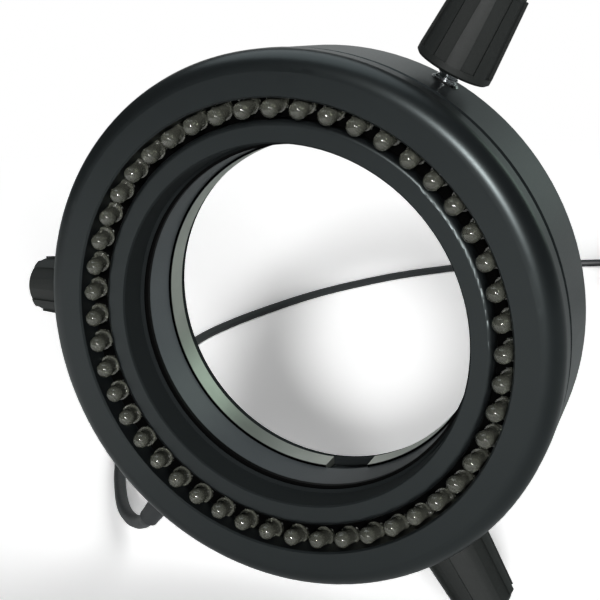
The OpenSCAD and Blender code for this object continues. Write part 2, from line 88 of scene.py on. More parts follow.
# Clamp screws, in millimetres and degrees, with the rows in a turn of thread and in its run-out
SCREW_ANGLES = (60, 180, 300)
SCREW_RADIUS = 1.9
SCREW_PITCH = 0.7
SCREW_SIDES = 32
SCREW_SHARP = 70
THREAD_DEPTH = 0.4
THREAD_STEPS = 8
THREAD_RUN_OUT = 4
TIP_RADIUS = 0.8
TIP_LENGTH = 1.3
TIP_EDGE = 0.1

# Cord, in millimetres: its exit, the points that it passes, and the coil that takes up the rest
EXIT_ANGLE = 230.5
EXIT_RADIUS = 63.4874
EXIT_Y = -2.4
LAID = TABLE + 1.5
FROM_EXIT = ((-2, 1.7, -1.9), (-4.9, 4.2, -4), (-8.1, 6.9, -5.7), (-11.1, 9.5, -6.8))
ROUTE = (
    (-54.7, 10.2, -56.6), (-58.1, 13.9, -57.1), (-61.7, 18.5, -57.4), (-65.6, 24, LAID), (-69.8, 30.4, LAID),
    (-77.2, 43, LAID), (-86.5, 64, LAID), (-95, 88, LAID), (-101.5, 111, LAID), (-104.2, 134, LAID),
    (-102, 153, LAID), (-96.8, 173.5, LAID), (-88.3, 197.8, LAID), (-77, 219, LAID), (-61.4, 240.5, LAID),
    (-38, 261, LAID), (-12, 272.2, LAID), (12, 280, LAID),
)
COIL_CENTRE = (45, 267)
COIL_START = 112.5
COIL_RADIUS = 25
COIL_STEP = 3.5
COIL_LAYER = 4.9
COIL_CLIMB = 0.5
COIL_TURNS = 2 * COIL_LAYER + COIL_CLIMB
COIL_BASE = TABLE + 2.4
COIL_LEAD = 3
COIL_TAIL = 12

# Floor, in metres: the sheet, and the painted pool of light on it that gloss sees
FLOOR_RADIUS = 6
FLOOR_SIDES = 96
POOL_CENTRE = (-0.15, -0.33, 0.0)
POOL_FULL = 0.2
POOL_END = 0.4

# Length of one wave of a wave texture at scale 1
WAVE = 0.314


# Colours and nodes

def linear(code):
    """sRGB hex code to linear RGBA"""
    out = []
    for i in (1, 3, 5):
        c = int(code[i:i + 2], 16) / 255
        out.append(c / 12.92 if c <= 0.04045 else ((c + 0.055) / 1.055) ** 2.4)
    return (*out, 1.0)


WHITE = linear("#ffffff")


def shade(colour, factor):
    """The colour, lighter or darker by a factor"""
    return (*(min(c * factor, 1.0) for c in colour[:3]), 1.0)


def per_mm(size):
    """Texture scale for a feature of size millimetres"""
    return 1 / (size * MM)


def add(tree, kind, inputs=(), **settings):
    """One node with its settings, its constant inputs and its links"""
    node = tree.nodes.new(kind)
    for name, value in settings.items():
        setattr(node, name, value)
    for name, value in dict(inputs).items():
        if isinstance(value, bpy.types.NodeSocket):
            tree.links.new(value, node.inputs[name])
        else:
            node.inputs[name].default_value = value
    return node


def new_material(name):
    """An empty material and its node tree"""
    material = bpy.data.materials.new(name)
    material.use_nodes = True
    material.node_tree.nodes.clear()
    return material, material.node_tree


def cad(name):
    """The CAD node's object"""
    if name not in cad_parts:
        raise RuntimeError("the frame has no node " + name)
    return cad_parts[name]


def dress(material, *names):
    """Gives CAD nodes one finish"""
    for name in names:
        mesh = cad(name).data
        mesh.materials.clear()
        mesh.materials.append(material)


# Materials

def blasted_anodised(name, colour, rough, bored):
    # Black anodised aluminium, bead blasted: near black, a cool sheen and soft broad highlights.
    # Blast pits are about 0.05 mm, too fine to show, so they are drawn 0.35 mm wide.
    # Nearer the axis than bored mm the tool has left it dull and a little darker.
    material, tree = new_material(name)
    at = add(tree, "ShaderNodeTexCoord").outputs["Object"]
    pits = add(tree, "ShaderNodeTexNoise", {"Vector": at, "Scale": per_mm(0.35), "Detail": 3.0}).outputs[0]
    cloud = add(tree, "ShaderNodeTexNoise", {"Vector": at, "Scale": per_mm(9), "Detail": 2.0}).outputs[0]
    tint = add(tree, "ShaderNodeMix", {0: cloud, 6: shade(colour, 0.82), 7: shade(colour, 1.2)},
               data_type="RGBA").outputs[2]
    flat = add(tree, "ShaderNodeVectorMath", {0: at, 1: (1, 0, 1)}, operation="MULTIPLY").outputs[0]
    radius = add(tree, "ShaderNodeVectorMath", {0: flat}, operation="LENGTH").outputs[1]
    dull = add(tree, "ShaderNodeMapRange", {
        "Value": radius, "From Min": (bored - 0.1) * MM, "From Max": bored * MM,
        "To Min": 0.55, "To Max": 0.0}).outputs[0]
    level = add(tree, "ShaderNodeMapRange", {"Value": dull, "From Max": 0.55, "To Min": 0.5, "To Max": 0.36})
    fine = add(tree, "ShaderNodeMapRange", {"Value": pits, "To Min": rough - 0.04, "To Max": rough + 0.04})
    gloss = add(tree, "ShaderNodeMath", {0: fine.outputs[0], 1: dull}, operation="ADD")
    bump = add(tree, "ShaderNodeBump", {"Height": pits, "Strength": 0.05, "Distance": 0.00002})
    shader = add(tree, "ShaderNodeBsdfPrincipled", {
        "Base Color": tint, "Roughness": gloss.outputs[0], "IOR": 1.46,
        "Specular IOR Level": level.outputs[0], "Specular Tint": linear("#f1ffff"),
        "Normal": bump.outputs[0]})
    add(tree, "ShaderNodeOutputMaterial", {"Surface": shader.outputs[0]})
    return material


def turned_metal(name, colour, rough, metal, mark, corner):
    # Turned aluminium: fine rings round the bore that stretch the reflections along it.
    # Tool marks are about 0.1 mm apart, too fine to show, so they are drawn coarser, mark mm apart.
    # In front of corner (metres along y) it is painted dull black: painted shade that stands for the shadow
    # in a narrow gap there.
    material, tree = new_material(name)
    at = add(tree, "ShaderNodeTexCoord").outputs["Object"]
    rings = add(tree, "ShaderNodeTexWave", {
        "Vector": at, "Scale": WAVE * per_mm(mark), "Distortion": 1.5, "Detail": 2.0,
        "Detail Scale": 0.6}, bands_direction="Y").outputs[1]
    stain = add(tree, "ShaderNodeTexNoise", {"Vector": at, "Scale": per_mm(6), "Detail": 3.0}).outputs[0]
    bare = add(tree, "ShaderNodeMix", {0: stain, 6: shade(colour, 0.85), 7: shade(colour, 1.12)},
               data_type="RGBA").outputs[2]
    depth = add(tree, "ShaderNodeSeparateXYZ", {0: at}).outputs[1]
    # Painted shade: black and barely reflecting in front of corner
    unshaded = add(tree, "ShaderNodeMapRange", {
        "Value": depth, "From Min": corner, "From Max": corner + PAINTED_SHADE_FADE * MM}).outputs[0]
    tint = add(tree, "ShaderNodeMix", {0: unshaded, 6: linear("#050505"), 7: bare}, data_type="RGBA").outputs[2]
    level = add(tree, "ShaderNodeMapRange", {"Value": unshaded, "To Min": 0.05, "To Max": 0.5}).outputs[0]
    gloss = add(tree, "ShaderNodeMapRange", {"Value": rings, "To Min": rough - 0.05, "To Max": rough + 0.05})
    bump = add(tree, "ShaderNodeBump", {"Height": rings, "Strength": 0.15, "Distance": 0.00001})
    shader = add(tree, "ShaderNodeBsdfPrincipled", {
        "Base Color": tint, "Metallic": metal, "Roughness": gloss.outputs[0],
        "Specular IOR Level": level, "Normal": bump.outputs[0]})
    add(tree, "ShaderNodeOutputMaterial", {"Surface": shader.outputs[0]})
    return material


def moulded_plastic(name, colour, rough, grain, level=0.5):
    # Moulded plastic with a spark-eroded skin: matt, evenly pebbled, a little lighter on the pebbles.
    # Pebbles are about 0.05 mm, too fine to show, so they are drawn coarser, grain mm wide.
    material, tree = new_material(name)
    at = add(tree, "ShaderNodeTexCoord").outputs["Object"]
    skin = add(tree, "ShaderNodeTexNoise", {"Vector": at, "Scale": per_mm(grain), "Detail": 4.0}).outputs[0]
    flow = add(tree, "ShaderNodeTexNoise", {"Vector": at, "Scale": per_mm(12), "Detail": 1.0}).outputs[0]
    tint = add(tree, "ShaderNodeMix", {0: skin, 6: shade(colour, 0.5), 7: shade(colour, 1.5)},
               data_type="RGBA").outputs[2]
    gloss = add(tree, "ShaderNodeMapRange", {"Value": flow, "To Min": rough - 0.05, "To Max": rough + 0.05})
    bump = add(tree, "ShaderNodeBump", {"Height": skin, "Strength": 0.25, "Distance": 0.00003})
    shader = add(tree, "ShaderNodeBsdfPrincipled", {
        "Base Color": tint, "Roughness": gloss.outputs[0], "IOR": 1.5, "Specular IOR Level": level,
        "Normal": bump.outputs[0]})
    add(tree, "ShaderNodeOutputMaterial", {"Surface": shader.outputs[0]})
    return material


def cast_epoxy(name, colour):
    # Cast epoxy lens: glossy and smoky, half clear, with faint flow streaks from the casting.
    material, tree = new_material(name)
    at = add(tree, "ShaderNodeTexCoord").outputs["Object"]
    flow = add(tree, "ShaderNodeTexNoise", {"Vector": at, "Scale": per_mm(0.9), "Detail": 2.0}).outputs[0]
    tint = add(tree, "ShaderNodeMix", {0: flow, 6: shade(colour, 0.85), 7: colour},
               data_type="RGBA").outputs[2]
    shader = add(tree, "ShaderNodeBsdfPrincipled", {
        "Base Color": tint, "Roughness": 0.1, "IOR": 1.54, "Transmission Weight": 0.85})
    add(tree, "ShaderNodeOutputMaterial", {"Surface": shader.outputs[0]})
    return material


def drawn_metal(name, colour, rough):
    # Plated or tinned metal: bright, with a faint dull bloom in patches.
    material, tree = new_material(name)
    at = add(tree, "ShaderNodeTexCoord").outputs["Object"]
    bloom = add(tree, "ShaderNodeTexNoise", {"Vector": at, "Scale": per_mm(0.8), "Detail": 4.0}).outputs[0]
    tint = add(tree, "ShaderNodeMix", {0: bloom, 6: shade(colour, 0.8), 7: colour},
               data_type="RGBA").outputs[2]
    gloss = add(tree, "ShaderNodeMapRange", {"Value": bloom, "To Min": rough - 0.06, "To Max": rough + 0.1})
    bump = add(tree, "ShaderNodeBump", {"Height": bloom, "Strength": 0.1, "Distance": 0.00001})
    shader = add(tree, "ShaderNodeBsdfPrincipled", {
        "Base Color": tint, "Metallic": 1.0, "Roughness": gloss.outputs[0], "Normal": bump.outputs[0]})
    add(tree, "ShaderNodeOutputMaterial", {"Surface": shader.outputs[0]})
    return material


def rolled_thread(name, colour, angle):
    # Plated steel with a rolled thread: bright crests, and painted shade that darkens the roots.
    material, tree = new_material(name)
    along = (math.cos(math.radians(angle)), 0.0, math.sin(math.radians(angle)))
    at = add(tree, "ShaderNodeTexCoord").outputs["Object"]
    axis = add(tree, "ShaderNodeVectorMath", {0: at, 1: along}, operation="PROJECT").outputs[0]
    radius = add(tree, "ShaderNodeVectorMath", {0: at, 1: axis}, operation="DISTANCE").outputs[1]
    crest = add(tree, "ShaderNodeMapRange", {
        "Value": radius, "From Min": (SCREW_RADIUS - THREAD_DEPTH) * MM,
        "From Max": SCREW_RADIUS * MM}).outputs[0]
    # Painted shade: darker towards the roots of the thread
    tint = add(tree, "ShaderNodeMix", {0: crest, 6: shade(colour, 0.6), 7: colour},
               data_type="RGBA").outputs[2]
    gloss = add(tree, "ShaderNodeMapRange", {"Value": crest, "To Min": 0.3, "To Max": 0.18})
    shader = add(tree, "ShaderNodeBsdfPrincipled", {
        "Base Color": tint, "Metallic": 1.0, "Roughness": gloss.outputs[0]})
    add(tree, "ShaderNodeOutputMaterial", {"Surface": shader.outputs[0]})
    return material


def masked_laminate(name, colour):
    # Glass laminate under solder mask: glossy green, with copper rings showing through as paler bands.
    material, tree = new_material(name)
    at = add(tree, "ShaderNodeTexCoord").outputs["Object"]
    ring = add(tree, "ShaderNodeTexWave", {
        "Vector": at, "Scale": WAVE * per_mm(2.4), "Distortion": 0.0},
        wave_type="RINGS", rings_direction="Y").outputs[1]
    track = add(tree, "ShaderNodeMapRange", {"Value": ring, "From Min": 0.45, "From Max": 0.6}).outputs[0]
    tint = add(tree, "ShaderNodeMix", {0: track, 6: colour, 7: shade(colour, 1.9)},
               data_type="RGBA").outputs[2]
    bump = add(tree, "ShaderNodeBump", {"Height": track, "Strength": 0.4, "Distance": 0.00003})
    shader = add(tree, "ShaderNodeBsdfPrincipled", {
        "Base Color": tint, "Roughness": 0.3, "Normal": bump.outputs[0]})
    add(tree, "ShaderNodeOutputMaterial", {"Surface": shader.outputs[0]})
    return material


def extruded_vinyl(name, colour):
    # Extruded vinyl: soft sheen, with a faint drag texture from the die and a trace of dust.
    # Drag marks are about 0.1 mm, too fine to show, so they are drawn 1.2 mm wide.
    material, tree = new_material(name)
    at = add(tree, "ShaderNodeTexCoord").outputs["Object"]
    drag = add(tree, "ShaderNodeTexNoise", {"Vector": at, "Scale": per_mm(1.2), "Detail": 3.0}).outputs[0]
    dust = add(tree, "ShaderNodeTexNoise", {"Vector": at, "Scale": per_mm(15), "Detail": 2.0}).outputs[0]
    tint = add(tree, "ShaderNodeMix", {0: dust, 6: colour, 7: shade(colour, 1.35)},
               data_type="RGBA").outputs[2]
    gloss = add(tree, "ShaderNodeMapRange", {"Value": drag, "To Min": 0.4, "To Max": 0.58})
    bump = add(tree, "ShaderNodeBump", {"Height": drag, "Strength": 0.15, "Distance": 0.00004})
    shader = add(tree, "ShaderNodeBsdfPrincipled", {
        "Base Color": tint, "Roughness": gloss.outputs[0], "IOR": 1.53, "Normal": bump.outputs[0]})
    add(tree, "ShaderNodeOutputMaterial", {"Surface": shader.outputs[0]})
    return material


def paper_floor(name, colour, shown, fade):
    # Seamless paper: matt, faintly fibrous white. The camera and glass see it brighter than it lights
    # the lamp, and it runs out to plain white beyond the shadow.
    # Gloss sees a painted pool of light in front, and grey beyond.
    # Fibres are about 0.1 mm, too fine to show, so they are drawn 2 mm wide.
    material, tree = new_material(name)
    at = add(tree, "ShaderNodeTexCoord").outputs["Object"]
    fibre = add(tree, "ShaderNodeTexNoise", {"Vector": at, "Scale": per_mm(2), "Detail": 2.0}).outputs[0]
    path = add(tree, "ShaderNodeLightPath").outputs
    clear = add(tree, "ShaderNodeMath", {0: path["Is Camera Ray"], 1: path["Is Transmission Ray"]},
                operation="MAXIMUM").outputs[0]
    bright = (shown, shown, shown, 1.0)
    plain = add(tree, "ShaderNodeMix", {0: clear, 6: colour, 7: bright}, data_type="RGBA").outputs[2]
    # Painted light: a bright pool round POOL_CENTRE, grey further out, seen only by gloss
    off = add(tree, "ShaderNodeVectorMath", {0: at, 1: POOL_CENTRE}, operation="DISTANCE").outputs[1]
    pool = add(tree, "ShaderNodeMapRange", {"Value": off, "From Min": POOL_END, "From Max": POOL_FULL},
               interpolation_type="SMOOTHSTEP").outputs[0]
    shine = add(tree, "ShaderNodeMix", {0: pool, 6: linear("#c5cbcb"), 7: bright},
               data_type="RGBA").outputs[2]
    tint = add(tree, "ShaderNodeMix", {0: path["Is Glossy Ray"], 6: plain, 7: shine},
               data_type="RGBA").outputs[2]
    bump = add(tree, "ShaderNodeBump", {"Height": fibre, "Strength": 0.02, "Distance": 0.0001})
    sheet = add(tree, "ShaderNodeBsdfDiffuse", {"Color": tint, "Normal": bump.outputs[0]}).outputs[0]
    white = add(tree, "ShaderNodeEmission", {"Color": WHITE}).outputs[0]
    reach = add(tree, "ShaderNodeVectorMath", {0: at}, operation="LENGTH").outputs[1]
    far = add(tree, "ShaderNodeMapRange", {"Value": reach, "From Min": fade, "From Max": 2 * fade},
              interpolation_type="SMOOTHSTEP").outputs[0]
    blank = add(tree, "ShaderNodeMath", {0: far, 1: clear}, operation="MULTIPLY").outputs[0]
    shader = add(tree, "ShaderNodeMixShader", {0: blank, 1: sheet, 2: white})
    add(tree, "ShaderNodeOutputMaterial", {"Surface": shader.outputs[0]})
    return material


# Settings

class RingLampFinish(bpy.types.PropertyGroup):
    """Colours and gloss of the lamp's pieces"""
    anodised: FloatVectorProperty(
        name="Anodised", description="Black anodised rings", subtype="COLOR", size=4, min=0, max=1,
        default=linear("#0d0f10"))
    anodised_rough: FloatProperty(
        name="Anodised roughness", description="Gloss of the blasted rings", default=0.34, min=0.05, max=0.9)
    sleeve: FloatVectorProperty(
        name="Sleeve", description="Grey sleeve in the bore", subtype="COLOR", size=4, min=0, max=1,
        default=linear("#3d4244"))
    band: FloatVectorProperty(
        name="Clamp band", description="Bare split band in the bore", subtype="COLOR", size=4, min=0, max=1,
        default=linear("#cdd0c7"))
    lamp: FloatVectorProperty(
        name="Lamp lens", description="Smoky epoxy of the lamps", subtype="COLOR", size=4, min=0, max=1,
        default=linear("#8d8f83"))
    post: FloatVectorProperty(
        name="Lamp post", description="Stamped post inside each lens", subtype="COLOR", size=4, min=0, max=1,
        default=linear("#2a2b28"))
    knob: FloatVectorProperty(
        name="Knob", description="Moulded thumb knobs", subtype="COLOR", size=4, min=0, max=1,
        default=linear("#181a19"))
    cord: FloatVectorProperty(
        name="Cord", description="Vinyl of the cord and its boots", subtype="COLOR", size=4, min=0, max=1,
        default=linear("#1c1e1f"))


class RingLampCord(bpy.types.PropertyGroup):
    """Sizes of the cord"""
    diameter: FloatProperty(
        name="Diameter", description="Outside of the cord", default=0.003, min=0.002, max=0.004,
        unit="LENGTH")
    length: FloatProperty(
        name="Length", description="From the strain relief to the plug", default=1.431, min=1, max=2,
        unit="LENGTH")
    rings: IntProperty(
        name="Points in a turn", description="Points in each turn of the coil", default=24, min=12, max=48)


class RingLampStage(bpy.types.PropertyGroup):
    """Camera, floor and light"""
    lens: FloatProperty(
        name="Lens", description="Focal length in millimetres", default=62.98, min=20, max=200)
    camera: FloatVectorProperty(
        name="Camera", description="Camera position", subtype="TRANSLATION", unit="LENGTH", size=3,
        default=(0.07335, -0.17222, 0.05393))
    aim: FloatVectorProperty(
        name="Aim", description="Direction of view", size=3, default=(-0.3963, 0.8775, -0.2701))
    roll: FloatProperty(
        name="Roll", description="Lean of the camera", subtype="ANGLE", default=math.radians(-2.29))
    floor: FloatVectorProperty(
        name="Floor", description="Paper under the lamp", subtype="COLOR", size=4, min=0, max=1,
        default=linear("#e2e2e2"))
    floor_shown: FloatProperty(
        name="Floor as seen", description="Brightness of the paper to the camera", default=1.66, min=0, max=3)
    fade: FloatProperty(
        name="Paper fade", description="Distance at which the paper starts to run out to white", default=0.36,
        min=0.1, unit="LENGTH")
    key: FloatProperty(
        name="Key light", description="Strength of the far lamp in front", default=3.0, min=0)
    front: FloatProperty(
        name="Front light", description="Strength of the low soft lamp in front", default=2.4, min=0)
    side: FloatProperty(
        name="Side light", description="Strength of the soft lamp at the right", default=0.92, min=0)
    top: FloatProperty(
        name="Top light", description="Power of the panel overhead", default=4.8, min=0, unit="POWER")
    window: FloatProperty(
        name="Window light", description="Power of the small panel at the back", default=2.2, min=0,
        unit="POWER")
    strip: FloatProperty(
        name="Strip light", description="Power of the long panel at the back", default=1.2, min=0,
        unit="POWER")
    fill: FloatProperty(
        name="Fill", description="Level of the light all round", default=0.03, min=0, max=2)


# Cord path

def coil_point(u):
    """Point of the coil after u turns: in to its middle, up to the second layer and out again"""
    a = math.radians(COIL_START - 360 * u)
    r = COIL_RADIUS - COIL_STEP * min(u, COIL_TURNS - u)
    climb = min(max((u - COIL_LAYER) / COIL_CLIMB, 0), 1)
    return Vector((COIL_CENTRE[0] + r * math.cos(a), COIL_CENTRE[1] + r * math.sin(a),
                   COIL_BASE + COIL_STEP * climb))


def cord_points(rings):
    """Points of the cord in millimetres, with one more before the first for its direction"""
    a = math.radians(EXIT_ANGLE)
    out = Vector((math.cos(a), 0, math.sin(a)))
    leave = EXIT_RADIUS * out + Vector((0, EXIT_Y, 0))
    count = math.ceil(COIL_TURNS * rings)
    coil = [coil_point(COIL_TURNS * i / count) for i in range(count + 1)]
    first = (coil[1] - coil[0]).normalized()
    last = (coil[-1] - coil[-2]).normalized()
    points = [leave] + [leave + Vector(p) for p in FROM_EXIT] + [Vector(p) for p in ROUTE]
    points += [coil[0] - COIL_LEAD * first] + coil + [coil[-1] + COIL_TAIL * last]
    return leave - COIL_LEAD * out, points


# Lamp and screw shapes

def smooth_piece(name, shape, sharp, body):
    """Object from a bmesh, smooth but for edges over sharp degrees, that rides with a body"""
    bmesh.ops.recalc_face_normals(shape, faces=shape.faces)
    mesh = bpy.data.meshes.new(name)
    shape.to_mesh(mesh)
    shape.free()
    mesh.polygons.foreach_set("use_smooth", [True] * len(mesh.polygons))
    mesh.set_sharp_from_angle(angle=math.radians(sharp))
    piece = bpy.data.objects.new(name, mesh)
    bpy.context.scene.collection.objects.link(piece)
    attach(piece, body)
    return piece


def at_lamps(name, profile, sides):
    """One profile of radii and heights, turned at every lamp and leaning in to the axis"""
    shape = bmesh.new()
    lean = math.radians(LAMP_LEAN)
    front = Vector((0, -1, 0))
    for i in range(LAMP_COUNT):
        a = math.radians(LAMP_START + i * 360 / LAMP_COUNT)
        out = Vector((math.cos(a), 0, math.sin(a)))
        along = Vector((-math.sin(a), 0, math.cos(a)))
        axis = front * math.cos(lean) - out * math.sin(lean)
        across = out * math.cos(lean) + front * math.sin(lean)
        hub = out * LAMP_CIRCLE + front * (LAMP_HUB - LAMP_SEAT)
        rows = []
        for r, h in profile:
            row = []
            for k in range(sides if r else 1):
                b = 2 * math.pi * k / sides
                point = hub + axis * (h - LAMP_HUB) + r * (math.cos(b) * across + math.sin(b) * along)
                # Flat on the flange where it meets the slot, and flush with the holder below
                point -= out * max(point.dot(out) - SLOT_OUTER + SLOT_CLEAR, 0)
                point.y = min(point.y, LAMP_SEAT - SEAT_CLEAR)
                row.append(shape.verts.new(point * MM))
            rows.append(row)
        for low, high in zip(rows, rows[1:]):
            for k in range(sides):
                n = (k + 1) % sides
                ring = [low[k % len(low)], low[n % len(low)], high[n % len(high)], high[k % len(high)]]
                shape.faces.new(list(dict.fromkeys(ring)))
    return smooth_piece(name, shape, LAMP_SHARP, "ring")


def threaded_screw(k, angle):
    """Clamp screw k inside the CAD screw's outline: tip, right-hand thread and a plain end in the knob"""
    a = math.radians(angle)
    along = Vector((math.cos(a), 0, math.sin(a)))
    up = Vector((0, 1, 0))
    side = along.cross(up)
    reach = [v.co.dot(along) / MM for v in cad(f"clamp_screw_{k}").data.vertices]
    tip = min(reach)
    end = max(reach)
    first = tip + TIP_LENGTH
    knob = min(v.co.dot(along) / MM for v in cad(f"knob_{k}").data.vertices)
    steps = THREAD_STEPS * (math.ceil((knob - first) / SCREW_PITCH) + 1)
    # Rows of distance along the axis, outside radius and depth of the thread there
    rows = [(tip, TIP_RADIUS - TIP_EDGE, 0), (tip + TIP_EDGE, TIP_RADIUS, 0), (first, TIP_RADIUS, 0)]
    for i in range(steps + 1):
        chamfer = max(THREAD_DEPTH * (1 - i / THREAD_STEPS), 0)
        depth = THREAD_DEPTH * min(i, steps - i, THREAD_RUN_OUT) / THREAD_RUN_OUT
        rows.append((first + SCREW_PITCH * i / THREAD_STEPS, SCREW_RADIUS - chamfer, depth))
    rows.append((end, SCREW_RADIUS, 0))
    shape = bmesh.new()
    rings = []
    for far, radius, depth in rows:
        ring = []
        for i in range(SCREW_SIDES):
            b = 2 * math.pi * i / SCREW_SIDES
            phase = 2 * math.pi * (far - first) / SCREW_PITCH - b
            r = min(radius, SCREW_RADIUS - depth * (0.5 - 0.5 * math.cos(phase)))
            ring.append(shape.verts.new((along * far + r * (math.cos(b) * up + math.sin(b) * side)) * MM))
        rings.append(ring)
    for low, high in zip(rings, rings[1:]):
        for i in range(SCREW_SIDES):
            n = (i + 1) % SCREW_SIDES
            shape.faces.new((low[i], low[n], high[n], high[i]))
    shape.faces.new(rings[0])
    shape.faces.new(rings[-1])
    return smooth_piece(f"threaded_screw_{k}", shape, SCREW_SHARP, f"thumb_screw_{k}")


# Operators

class RINGLAMP_OT_stage(bpy.types.Operator):
    """Sets up the camera, the paper floor and the lights"""
    bl_idname = "ringlamp.stage"
    bl_label = "Stage"

    def execute(self, context):
        scene = context.scene
        stage = scene.ring_lamp_stage
        camera = bpy.data.objects.new("camera", bpy.data.cameras.new("camera"))
        scene.collection.objects.link(camera)
        camera.data.lens = stage.lens
        camera.data.sensor_width = 36
        camera.data.clip_start = 0.01
        camera.location = stage.camera
        turn = Vector(stage.aim).to_track_quat("-Z", "Y").to_matrix().to_4x4()
        camera.rotation_euler = (turn @ Matrix.Rotation(stage.roll, 4, "Z")).to_euler()
        scene.camera = camera

        mesh = bpy.data.meshes.new("floor")
        sheet = bmesh.new()
        bmesh.ops.create_circle(sheet, cap_ends=True, segments=FLOOR_SIDES, radius=FLOOR_RADIUS)
        sheet.to_mesh(mesh)
        sheet.free()
        floor = bpy.data.objects.new("floor", mesh)
        floor.location.z = TABLE * MM
        scene.collection.objects.link(floor)
        paper = paper_floor("White seamless paper", tuple(stage.floor), stage.floor_shown, stage.fade)
        mesh.materials.append(paper)

        # Far lamps: spread, turn and rise in degrees, and whether gloss sees them
        for name, strength, spread, round_to, rise, shiny in (
                ("key_light", stage.key, 8, 16.5, 16.5, True),
                ("front_light", stage.front, 12, 37, 10, False),
                ("side_light", stage.side, 40, 130, 40, False)):
            lamp = bpy.data.lights.new(name, "SUN")
            lamp.energy = strength
            lamp.angle = math.radians(spread)
            holder = bpy.data.objects.new(name, lamp)
            holder.rotation_euler = (math.radians(90 - rise), 0, math.radians(round_to))
            holder.visible_camera = False
            holder.visible_glossy = shiny
            scene.collection.objects.link(holder)
        # Panels that only gloss sees: size and place in metres, and colour
        for name, power, size, place, tint in (
                ("top_light", stage.top, (1.1, 1.1), Vector((-0.2, 0.12, 0.92)), "#f2fbff"),
                ("window_light", stage.window, (0.7, 1.0), Vector((0.94, 1.6, 0.64)), "#e6fff0"),
                ("strip_light", stage.strip, (1.5, 0.6), Vector((-0.88, 1.68, 0.6)), "#ffffff")):
            lamp = bpy.data.lights.new(name, "AREA")
            lamp.shape = "ELLIPSE"
            lamp.size, lamp.size_y = size
            lamp.energy = power
            lamp.color = linear(tint)[:3]
            holder = bpy.data.objects.new(name, lamp)
            holder.location = place
            holder.rotation_euler = (-place).to_track_quat("-Z", "Y").to_euler()
            holder.visible_camera = False
            holder.visible_diffuse = False
            scene.collection.objects.link(holder)

        # Room: white to the camera, a faint fill to matt surfaces, and grey with a paler wall to gloss
        world = bpy.data.worlds.new("studio")
        world.use_nodes = True
        tree = world.node_tree
        tree.nodes.clear()
        path = add(tree, "ShaderNodeLightPath").outputs
        at = add(tree, "ShaderNodeTexCoord").outputs["Generated"]
        way = add(tree, "ShaderNodeSeparateXYZ", {0: at}).outputs
        low = add(tree, "ShaderNodeMapRange", {
            "Value": way[2], "From Min": 0.15, "From Max": 0.5, "To Min": 1.0, "To Max": 0.0},
            interpolation_type="SMOOTHSTEP").outputs[0]
        behind = add(tree, "ShaderNodeMapRange", {"Value": way[1], "From Min": 0.86, "From Max": 0.95},
                     interpolation_type="SMOOTHSTEP").outputs[0]
        wall = add(tree, "ShaderNodeMath", {0: low, 1: behind}, operation="MULTIPLY").outputs[0]
        mirrored = add(tree, "ShaderNodeMix", {0: wall, 6: linear("#3c4040"), 7: linear("#98a1a1")},
                       data_type="RGBA").outputs[2]
        gloss = add(tree, "ShaderNodeMath", {0: path["Is Glossy Ray"], 1: path["Is Transmission Ray"]},
                    operation="MAXIMUM").outputs[0]
        soft = add(tree, "ShaderNodeBackground", {"Color": WHITE, "Strength": stage.fill}).outputs[0]
        room = add(tree, "ShaderNodeBackground", {"Color": mirrored}).outputs[0]
        white = add(tree, "ShaderNodeBackground", {"Color": WHITE}).outputs[0]
        lit = add(tree, "ShaderNodeMixShader", {0: gloss, 1: soft, 2: room}).outputs[0]
        seen = add(tree, "ShaderNodeMixShader", {0: path["Is Camera Ray"], 1: lit, 2: white})
        add(tree, "ShaderNodeOutputWorld", {"Surface": seen.outputs[0]})
        scene.world = world
        scene.view_settings.view_transform = "Standard"
        return {"FINISHED"}


class RINGLAMP_OT_cord(bpy.types.Operator):
    """Lays the cord from the strain relief over the table to its coil"""
    bl_idname = "ringlamp.cord"
    bl_label = "Cord"

    def execute(self, context):
        finish = context.scene.ring_lamp_finish
        cord = context.scene.ring_lamp_cord
        before, points = cord_points(cord.rings)
        data = bpy.data.curves.new("cord", "CURVE")
        data.dimensions = "3D"
        data.bevel_depth = cord.diameter / 2
        data.bevel_resolution = 4
        data.resolution_u = 5
        data.use_fill_caps = True
        spline = data.splines.new("BEZIER")
        spline.bezier_points.add(len(points) - 1)
        after = points[-1] + (points[-1] - points[-2])
        line = [before] + points + [after]
        # Handles of a sixth of the way between a point's two neighbours keep the curve smooth
        for i, knot in enumerate(spline.bezier_points):
            lean = (line[i + 2] - line[i]) / 6
            knot.handle_left_type = "FREE"
            knot.handle_right_type = "FREE"
            knot.co = points[i] * MM
            knot.handle_left = (points[i] - lean) * MM
            knot.handle_right = (points[i] + lean) * MM
        piece = bpy.data.objects.new("cord", data)
        context.scene.collection.objects.link(piece)
        data.materials.append(extruded_vinyl("Black vinyl, extruded", tuple(finish.cord)))
        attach(piece, "ring")
        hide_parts("cord_run", "cord_coil")
        return {"FINISHED"}


class RINGLAMP_OT_rings(bpy.types.Operator):
    """Finishes the anodised rings and the seal between them"""
    bl_idname = "ringlamp.rings"
    bl_label = "Anodised rings"

    def execute(self, context):
        finish = context.scene.ring_lamp_finish
        dress(blasted_anodised("Black anodised aluminium, bead blasted", tuple(finish.anodised),
                               finish.anodised_rough, BORED_RADIUS),
              "front_bezel", "inner_collar", "rear_housing")
        dress(moulded_plastic("Black nitrile rubber, moulded", linear("#0c0d0d"), 0.7, 0.5), "seal_ring")
        return {"FINISHED"}


